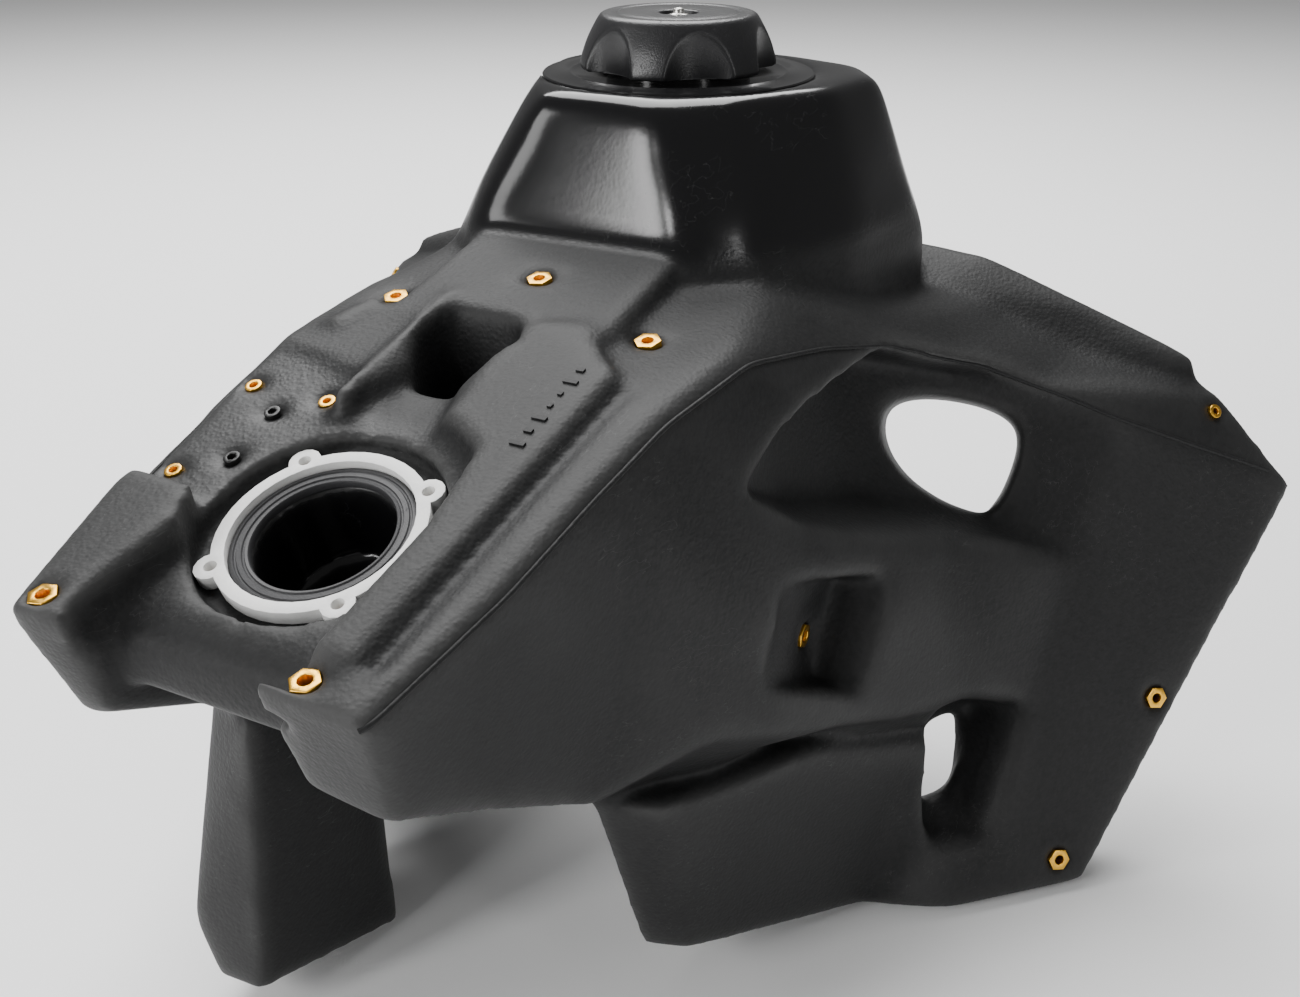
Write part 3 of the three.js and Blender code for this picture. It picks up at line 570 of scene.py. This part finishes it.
def smooth_weights(points):
    local = (points - np.array(FILLER)) / MM
    distance = np.array([steep_tree.find(p)[2] for p in points])
    weight = np.clip((distance - EDGE_KEEP) / EDGE_FADE, 0.0, 1)
    below_rim = np.clip((-10 - local[:, 2]) / 10, 0, 1)
    dome = dome_share(local) * (DOME_RIM + DOME_CORNERS * below_rim)
    wing = np.clip((np.abs(local[:, 1]) - 140) / 40, 0, 1)
    weight = np.maximum(np.maximum(weight, EDGE_LEAST + WING_LEAST * wing), dome)
    return weight * (1 - 0.97 * seat_share(local))


def relax(points, links, weight, rounds):
    one, other, degree = links
    for _ in range(rounds):
        points += weight * (neighbour_mean(points, one, other, degree) - points)
    return points


def smoothed(mesh):
    points = read_points(mesh)
    one, other = neighbours(mesh)
    links = (one, other, np.maximum(np.bincount(one, minlength=len(points)), 1))
    crisp = seat_share((points - np.array(FILLER)) / MM)[:, None]
    weight = smooth_weights(points)[:, None] * OPEN_STEP
    for _ in range(WEIGHT_BLUR):
        weight = neighbour_mean(weight, one, other, links[2])
    free = 1 - 0.9 * crisp
    relax(points, links, STEP_IN * free, EVEN_ROUNDS)
    for _ in range(RIPPLE_PAIRS):
        relax(points, links, STEP_IN * free, 1)
        relax(points, links, -STEP_OUT * free, 1)
    relax(points, links, weight, ROUNDS)
    relax(points, links, LAST_STEP * free, LAST_ROUNDS)
    mesh.vertices.foreach_set("co", points.ravel())
    mesh.update()


smoothed(shell_mesh)
print("smoothed in", ROUNDS, "rounds")

# %% [markdown]
# The mesh is thinned to stay light, then shaded smooth. The two attributes for the
# plastic are worked out on the final points: polish_and_bore_shade from where a point lies,
# which also puts painted shade into the pump's bore, and edge from how much the surface
# bulges there.

# %% Thin the mesh and mark it
TRIANGLES = 190000
PLATE_GLOSS = 0.25
FULL_BULGE = 0.16 * MM


def thinned(mesh, most):
    holder = bpy.data.objects.new("thinning", mesh)
    bpy.context.scene.collection.objects.link(holder)
    holder.modifiers.new("triangles", "TRIANGULATE")
    if len(mesh.polygons) * 2 > most:
        decimate = holder.modifiers.new("decimate", "DECIMATE")
        decimate.ratio = most / (len(mesh.polygons) * 2)
    seen = holder.evaluated_get(bpy.context.evaluated_depsgraph_get())
    result = bpy.data.meshes.new_from_object(seen)
    bpy.data.objects.remove(holder)
    return result


def plate_share(local):
    """1 on the smooth plate beside the pump."""
    sunk = -119.8 + 0.368 * (local[:, 0] + 280.5)
    level = np.clip((3.5 - np.abs(local[:, 2] - sunk)) / 1.5, 0, 1)
    band = np.clip((local[:, 0] + 292) / 3, 0, 1) * np.clip((-204 - local[:, 0]) / 3, 0, 1)
    return PLATE_GLOSS * level * band * np.clip((local[:, 1] + 20) / 20, 0, 1)


def bore_shade_and_gloss(local):
    """1 inside the pump's bore and its cup, where a near-black colour paints shade and the gloss is
    high.
    """
    away = local - np.array([-280.5, 0, -123])
    along = away @ np.array(PUMP_AXIS)
    radius = np.linalg.norm(away - along[:, None] * np.array(PUMP_AXIS), axis=1)
    return np.clip((29 - radius) / 2, 0, 1) * np.clip((-3 - along) / 3, 0, 1)


def mark_surface(mesh):
    points = read_points(mesh)
    local = (points - np.array(FILLER)) / MM
    # The pump bore's share darkens the bore and cup: painted shade carried in the polish attribute.
    polish_and_bore_shade = np.maximum.reduce([dome_share(local), plate_share(local), bore_shade_and_gloss(local)])
    one, other = neighbours(mesh)
    degree = np.maximum(np.bincount(one, minlength=len(points)), 1)
    normals = np.empty(len(points) * 3)
    mesh.vertices.foreach_get("normal", normals)
    normals = normals.reshape(-1, 3)
    bulge = ((points - neighbour_mean(points, one, other, degree)) * normals).sum(1)[:, None]
    for _ in range(3):
        bulge = neighbour_mean(bulge, one, other, degree)
    edge = np.clip(bulge[:, 0] / FULL_BULGE, 0, 1)
    for name, values in (("polish_and_bore_shade", polish_and_bore_shade), ("edge", edge)):
        attribute = mesh.attributes.new(name, "FLOAT", "POINT")
        attribute.data.foreach_set("value", values.astype(np.float32))
    return polish_and_bore_shade, edge


shell_mesh = thinned(shell_mesh, TRIANGLES)
shell_mesh.shade_smooth()
polish_and_bore_shade, edge = mark_surface(shell_mesh)
print("triangles", len(shell_mesh.polygons))
print("polished", round(float(polish_and_bore_shade.mean()), 3), "edges", round(float(edge.mean()), 3))

# %% Tank moulding
def add_piece(name, mesh, material, body="tank"):
    piece = bpy.data.objects.new(name, mesh)
    bpy.context.scene.collection.objects.link(piece)
    mesh.materials.clear()
    mesh.materials.append(material)
    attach(piece, body)
    return piece


tank_moulding = add_piece("tank_moulding", shell_mesh, TANK_PLASTIC)
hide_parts("tank_shell")
shell_points = [v.co.copy() for v in shell_mesh.vertices]
shell_tree = BVHTree.FromPolygons(shell_points, [tuple(p.vertices) for p in shell_mesh.polygons])
print("tank moulding placed")

# %% [markdown]
# Where the two halves of the mould met, a thin line of plastic stands up from the
# surface. It follows a path, so Geometry Nodes sweep a small round section along a curve
# whose points have been dropped onto the shell.

# %% Parting line path
PARTING_LINE = [
    (-366, 84, -133), (-300, 94, -117), (-245, 97, -103),
    (-200, 99, -93), (-137, 104, -88), (-85, 115, -96),
    (-48, 128, -104), (-10, 143, -119), (10, 158, -128),
    (30, 190, -142), (46, 216, -155), (75, 252, -174),
    (104, 288, -192),
]
STEP = 3.0


def dropped_path(side):
    """Points a few millimetres apart along the line, each on the surface of the shell."""
    path = []
    for a, b in zip(PARTING_LINE, PARTING_LINE[1:]):
        start, finish_at = Vector(a), Vector(b)
        count = max(1, int((finish_at - start).length / STEP))
        for i in range(count):
            x, w, z = start.lerp(finish_at, i / count)
            path.append(shell_tree.find_nearest(from_filler(x, side * w, z))[0])
    for _ in range(6):
        inner = [(path[i - 1] + 2 * path[i] + path[i + 1]) / 4 for i in range(1, len(path) - 1)]
        path = [path[0], *[shell_tree.find_nearest(p)[0] for p in inner], path[-1]]
    return path


parting_paths = {side: dropped_path(side) for side in (-1, 1)}
print("parting line points", [len(p) for p in parting_paths.values()])

# %% Geometry Nodes helpers
def geometry_tree(name, inputs):
    """A Geometry Nodes tree with a mesh in, a mesh out and named float inputs."""
    tree = bpy.data.node_groups.new(name, "GeometryNodeTree")
    tree.interface.new_socket("Geometry", in_out="INPUT", socket_type="NodeSocketGeometry")
    tree.interface.new_socket("Geometry", in_out="OUTPUT", socket_type="NodeSocketGeometry")
    for socket, value in inputs.items():
        item = tree.interface.new_socket(socket, in_out="INPUT", socket_type="NodeSocketFloat")
        item.default_value = value
    return tree, tree.nodes.new("NodeGroupInput"), tree.nodes.new("NodeGroupOutput")


def end_tree(tree, geometry, end, material):
    """Realizes the instances and gives the result its material."""
    real = tree.nodes.new("GeometryNodeRealizeInstances")
    paint = tree.nodes.new("GeometryNodeSetMaterial")
    paint.inputs["Material"].default_value = material
    tree.links.new(geometry, real.inputs[0])
    tree.links.new(real.outputs[0], paint.inputs["Geometry"])
    tree.links.new(paint.outputs[0], end.inputs[0])


def run_tree(name, mesh, tree, values, material):
    """Runs a tree on a mesh and returns the result as a plain piece."""
    holder = bpy.data.objects.new(name, mesh)
    bpy.context.scene.collection.objects.link(holder)
    modifier = holder.modifiers.new(name, "NODES")
    modifier.node_group = tree
    for item in tree.interface.items_tree:
        if item.item_type == "SOCKET" and item.in_out == "INPUT" and item.name in values:
            modifier[item.identifier] = values[item.name]
    seen = holder.evaluated_get(bpy.context.evaluated_depsgraph_get())
    result = bpy.data.meshes.new_from_object(seen)
    holder.modifiers.remove(modifier)
    bpy.data.objects.remove(holder)
    return add_piece(name, result, material)


print("geometry helpers ready")

# %% Parting line
def parting_tree():
    tree, start, end = geometry_tree("parting_line", {"Radius": 0.0007})
    to_curve = tree.nodes.new("GeometryNodeMeshToCurve")
    section = tree.nodes.new("GeometryNodeCurvePrimitiveCircle")
    section.inputs["Resolution"].default_value = 6
    sweep = tree.nodes.new("GeometryNodeCurveToMesh")
    sweep.inputs["Fill Caps"].default_value = True
    tree.links.new(start.outputs["Geometry"], to_curve.inputs["Mesh"])
    tree.links.new(start.outputs["Radius"], section.inputs["Radius"])
    tree.links.new(to_curve.outputs[0], sweep.inputs["Curve"])
    tree.links.new(section.outputs[0], sweep.inputs["Profile Curve"])
    end_tree(tree, sweep.outputs[0], end, TANK_PLASTIC)
    return tree


PARTING_TREE = parting_tree()
for side, word in ((-1, "right"), (1, "left")):
    path = parting_paths[side]
    line = bpy.data.meshes.new("parting_" + word)
    line.from_pydata(path, [(i, i + 1) for i in range(len(path) - 1)], [])
    seam = run_tree("parting_line_" + word, line, PARTING_TREE, {"Radius": 0.0011}, TANK_PLASTIC)
    seam.data.shade_smooth()
    print("parting line", word, len(seam.data.polygons), "faces")

# %% [markdown]
# The raised panel carries a mark from the mould. A row of plain bars stands for it. One
# bar is drawn once as a plain box, and Geometry Nodes put a copy on each point.

# %% Mould mark
BAR = (2.2, 6.0, 1.3)
PANEL_HEIGHT = 3.2
MARK_START = (-240, -60)
MARK_END = (-192, -58)
DECK_SLOPE = 0.245
MARK_LENGTHS = [1.0, 0.55, 1.0, 0.3, 0.3, 1.0, 0.55]


def deck_height(x, above):
    return -69 + DECK_SLOPE * (x + 129) + above


def bar_tree():
    tree, start, end = geometry_tree("mould_mark", {"Width": 0.002, "Length": 0.006, "Height": 0.001})
    size = tree.nodes.new("ShaderNodeCombineXYZ")
    for axis, socket in (("X", "Width"), ("Y", "Length"), ("Z", "Height")):
        tree.links.new(start.outputs[socket], size.inputs[axis])
    bar = tree.nodes.new("GeometryNodeMeshCube")
    tree.links.new(size.outputs[0], bar.inputs["Size"])
    turn_bar = tree.nodes.new("FunctionNodeInputVector")
    turn_bar.vector = (0, -math.atan(DECK_SLOPE), 0)
    length = add_node(tree, "GeometryNodeInputNamedAttribute", data_type="FLOAT")
    length.inputs["Name"].default_value = "length"
    scale = tree.nodes.new("ShaderNodeCombineXYZ")
    scale.inputs["X"].default_value = 1
    scale.inputs["Z"].default_value = 1
    tree.links.new(length.outputs[0], scale.inputs["Y"])
    place = tree.nodes.new("GeometryNodeInstanceOnPoints")
    tree.links.new(start.outputs["Geometry"], place.inputs["Points"])
    tree.links.new(bar.outputs["Mesh"], place.inputs["Instance"])
    tree.links.new(turn_bar.outputs[0], place.inputs["Rotation"])
    tree.links.new(scale.outputs[0], place.inputs["Scale"])
    end_tree(tree, place.outputs[0], end, TANK_PLASTIC)
    return tree


def mark_points():
    mesh = bpy.data.meshes.new("mould_mark")
    count = len(MARK_LENGTHS)
    places = []
    for i in range(count):
        x = MARK_START[0] + (MARK_END[0] - MARK_START[0]) * i / (count - 1)
        y = MARK_START[1] + (MARK_END[1] - MARK_START[1]) * i / (count - 1)
        places.append(from_filler(x, y, deck_height(x, PANEL_HEIGHT + 0.1)))
    mesh.from_pydata(places, [], [])
    attribute = mesh.attributes.new("length", "FLOAT", "POINT")
    attribute.data.foreach_set("value", MARK_LENGTHS)
    return mesh


BAR_TREE = bar_tree()
bar_sizes = {"Width": BAR[0] * MM, "Length": BAR[1] * MM, "Height": BAR[2] * MM}
mould_mark = run_tree("mould_mark", mark_points(), BAR_TREE, bar_sizes, TANK_PLASTIC)
print("mould mark", len(mould_mark.data.polygons), "faces")

# %% [markdown]
# The cap is moulded nylon with six lobes for the hand. Its outline at any height is a
# cone's circle with six scoops taken out of it. A scoop's wall stands upright while the
# cone narrows, so each scoop ends in a point below the rim. That is a rule, so the surface
# is made ring by ring from it.

# %% Cap surface
CAP_LOBES = 6
CAP_TURN = math.radians(9.7)
AROUND = 360
SCOOP_FLOOR = 38.2
SCOOP_RADIUS = 26.0
EDGE_SOFTNESS = 0.7
SCOOP_LEAN = 0.06
LEAST_RADIUS = 35.9
CAP_PROFILE = [
    (33.6, 13.9, 0), (35.0, 13.9, 0), (35.6, 6.0, 0), (35.8, 0.9, 0),
    (37.5, 0.6, 1), (41.5, 0.5, 1), (45.4, 0.5, 1),
    (46.4, 0.9, 1), (46.9, 1.7, 1), (46.9, 3.0, 1), (46.5, 4.8, 1),
    (45.9, 6.8, 1), (45.2, 8.8, 1), (44.5, 10.8, 1),
    (43.7, 12.8, 1), (42.9, 14.6, 1), (42.0, 16.4, 1), (41.1, 18.1, 1),
    (40.2, 19.7, 1), (39.4, 21.1, 1), (38.7, 22.3, 1),
    (38.0, 23.4, 1), (37.2, 24.4, 1), (36.3, 25.0, 0), (35.2, 25.4, 0),
    (34.2, 25.5, 0), (30.0, 25.45, 0), (29.4, 25.1, 0),
    (28.8, 25.1, 0), (28.2, 25.4, 0), (18.0, 25.3, 0), (10.2, 25.2, 0),
    (9.3, 25.0, 0), (9.0, 24.4, 0), (8.8, 21.6, 0),
]


def scoop_radius(angle):
    """Distance from the axis to the wall of a scoop, far outside the cap on a lobe."""
    part = math.tau / CAP_LOBES
    away = (angle - CAP_TURN) % part - part / 2
    centre = SCOOP_FLOOR + SCOOP_RADIUS
    across = centre * math.sin(away)
    if abs(across) >= SCOOP_RADIUS:
        return 2 * centre
    return centre * math.cos(away) - math.sqrt(SCOOP_RADIUS ** 2 - across ** 2)


def soft_min(first, second, softness):
    """The smaller of two numbers, rounded off where they are nearly equal."""
    gap = max(softness - abs(first - second), 0) / softness
    return min(first, second) - gap * gap * softness / 4


def cap_ring(radius, height, scooped):
    ring = []
    for i in range(AROUND):
        angle = math.tau * i / AROUND
        wall = scoop_radius(angle) + SCOOP_LEAN * height
        r = max(soft_min(radius, wall, EDGE_SOFTNESS), LEAST_RADIUS) if scooped else radius
        ring.append(from_filler(r * math.cos(angle), r * math.sin(angle), height))
    return ring


def cap_mesh():
    rings = [cap_ring(*row) for row in CAP_PROFILE]
    bottom = cap_ring(3.4, 21.6, 0)
    ceiling = cap_ring(3.4, 13.9, 0)
    rings = [ceiling, *rings, bottom]
    faces = []
    for j in range(len(rings)):
        following = (j + 1) % len(rings)
        for i in range(AROUND):
            k = (i + 1) % AROUND
            a, b = j * AROUND, following * AROUND
            faces.append((a + i, a + k, b + k, b + i))
    mesh = bpy.data.meshes.new("cap_grip_moulding")
    mesh.from_pydata([p for ring in rings for p in ring], [], faces)
    work = bmesh.new()
    work.from_mesh(mesh)
    bmesh.ops.recalc_face_normals(work, faces=work.faces)
    work.to_mesh(mesh)
    work.free()
    mesh.shade_smooth()
    return mesh


cap_moulding = add_piece("cap_moulding", cap_mesh(), CAP_NYLON, "cap")
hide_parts("cap_grip")
print("cap", len(cap_moulding.data.polygons), "faces")

# %% [markdown]
# The small metal pieces have the right shape already, but a real edge is never perfectly
# sharp: it catches the light as a thin bright line. A copy of each one is merged and its
# edges bevelled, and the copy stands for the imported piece. The inserts are also set a
# little deeper, because the smoothed skin lies just inside the faceted one.

# %% Bevelled copies
INSERT_SINK = 0.7 * MM
BEVEL_ANGLE = math.radians(30)


def long_axis(work):
    """The direction in which a piece's points spread most, pointing out of the tank."""
    points = np.array([v.co for v in work.verts])
    middle = points.mean(0)
    _, directions = np.linalg.eigh(np.cov((points - middle).T))
    axis = Vector(directions[:, 2])
    return axis if axis.dot(Vector(middle) - Vector((0, 0, 0.2))) > 0 else -axis


def bevelled(node, name, width, material, body="tank", sink=0.0):
    work = merged_copy(node)
    bmesh.ops.translate(work, verts=work.verts, vec=-long_axis(work) * sink)
    bmesh.ops.dissolve_limit(work, angle_limit=math.radians(2), verts=work.verts, edges=work.edges)
    paired = [e for e in work.edges if len(e.link_faces) == 2]
    sharp = [e for e in paired if e.calc_face_angle(0) > BEVEL_ANGLE]
    bmesh.ops.bevel(
        work, geom=sharp, offset=width, segments=2, profile=0.5, affect="EDGES", clamp_overlap=True,
    )
    bmesh.ops.triangulate(work, faces=work.faces)
    mesh = bpy.data.meshes.new(name)
    work.to_mesh(mesh)
    work.free()
    mesh.shade_smooth()
    mesh.set_sharp_from_angle(angle=math.radians(35))
    piece = add_piece(name, mesh, material, body)
    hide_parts(node)
    return piece


insert_nodes = sorted(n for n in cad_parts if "insert" in n)
for node in insert_nodes:
    bevelled(node, node + "_turned", 0.35 * MM, BRASS, sink=INSERT_SINK)
bevelled("vent_nut", "vent_nut_bevelled", 0.3 * MM, STEEL, "cap")
bevelled("pump_ring", "pump_ring_moulding", 0.5 * MM, WHITE_PLASTIC)
for node in ("plug_screw_1", "plug_screw_2"):
    bevelled(node, node + "_bevelled", 0.3 * MM, BLACK_STEEL)
print("bevelled", len(insert_nodes) + 4, "pieces")

# %% [markdown]
# Round pieces that were turned or pressed are drawn again from their outline with many
# more steps around, so that they look round from close by. Each outline is in millimetres
# from the axis and along it.

# %% Turned pieces
def turned(name, outline, centre, axis, steps, material, body, replaced=None):
    """Turns a closed outline of (radius, height) points about an axis."""
    side_on = axis.orthogonal().normalized()
    other = axis.cross(side_on)
    points, faces = [], []
    for i in range(steps):
        angle = math.tau * i / steps
        out = side_on * math.cos(angle) + other * math.sin(angle)
        points += [centre + (out * r + axis * h) * MM for r, h in outline]
    count = len(outline)
    for i in range(steps):
        k = (i + 1) % steps
        for j in range(count):
            m = (j + 1) % count
            faces.append((i * count + j, i * count + m, k * count + m, k * count + j))
    work = bmesh.new()
    verts = [work.verts.new(p) for p in points]
    for face in faces:
        work.faces.new([verts[i] for i in face])
    bmesh.ops.recalc_face_normals(work, faces=work.faces)
    mesh = bpy.data.meshes.new(name)
    work.to_mesh(mesh)
    work.free()
    mesh.shade_smooth()
    mesh.set_sharp_from_angle(angle=math.radians(40))
    piece = add_piece(name, mesh, material, body)
    if replaced:
        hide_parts(replaced)
    return piece


neck_outline = [
    (29.0, -22), (33.6, -22), (34.0, -21.4), (34.0, -4.5),
    (64.6, -4.5), (65.0, -4.0), (65.0, -2.1), (64.4, -1.5),
    (53.0, -1.5), (52.4, -1.1), (51.0, -1.1), (50.4, -1.5), (34.0, -1.5),
    (34.0, 7.4), (33.4, 8), (29.6, 8), (29.0, 7.4),
]
neck = turned(
    "filler_neck_moulding", neck_outline, FILLER, UP, 160, TANK_PLASTIC, "tank",
    "filler_neck",
)
neck_polish = neck.data.attributes.new("polish_and_bore_shade", "FLOAT", "POINT")
neck_polish.data.foreach_set("value", [1.0] * len(neck.data.vertices))
seal_outline = [
    (27.6, -5.9), (35.3, -5.9), (35.3, -3.2), (34.8, -2.8),
    (33.6, -2.7), (33.2, -3.3), (32.6, -3.3), (32.2, -2.7),
    (30.4, -2.6), (30.0, -3.2), (29.4, -3.2), (29.0, -2.6), (28.0, -2.8), (27.6, -3.3),
]
turned(
    "pump_seal_moulding", seal_outline, PUMP_CENTRE, PUMP_AXIS, 160, SEAL_RUBBER, "tank",
    "pump_seal",
)
vent_outline = [
    (1.1, 4), (3.0, 4), (3.0, 21.7), (5.2, 21.7), (5.6, 22.1),
    (5.6, 23.6), (5.2, 24.0), (3.6, 24.5), (2.9, 24.8), (2.6, 25.3),
    (2.6, 26.6), (2.3, 26.9), (1.5, 26.9), (1.1, 26.6),
]
turned("vent_fitting_turned", vent_outline, FILLER, UP, 64, STEEL, "cap", "vent_fitting")
for node, material in (("cap_plug", CAP_NYLON), ("cap_gasket", SEAL_RUBBER)):
    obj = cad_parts[node]
    obj.data.materials.clear()
    obj.data.materials.append(material)
print("turned pieces done")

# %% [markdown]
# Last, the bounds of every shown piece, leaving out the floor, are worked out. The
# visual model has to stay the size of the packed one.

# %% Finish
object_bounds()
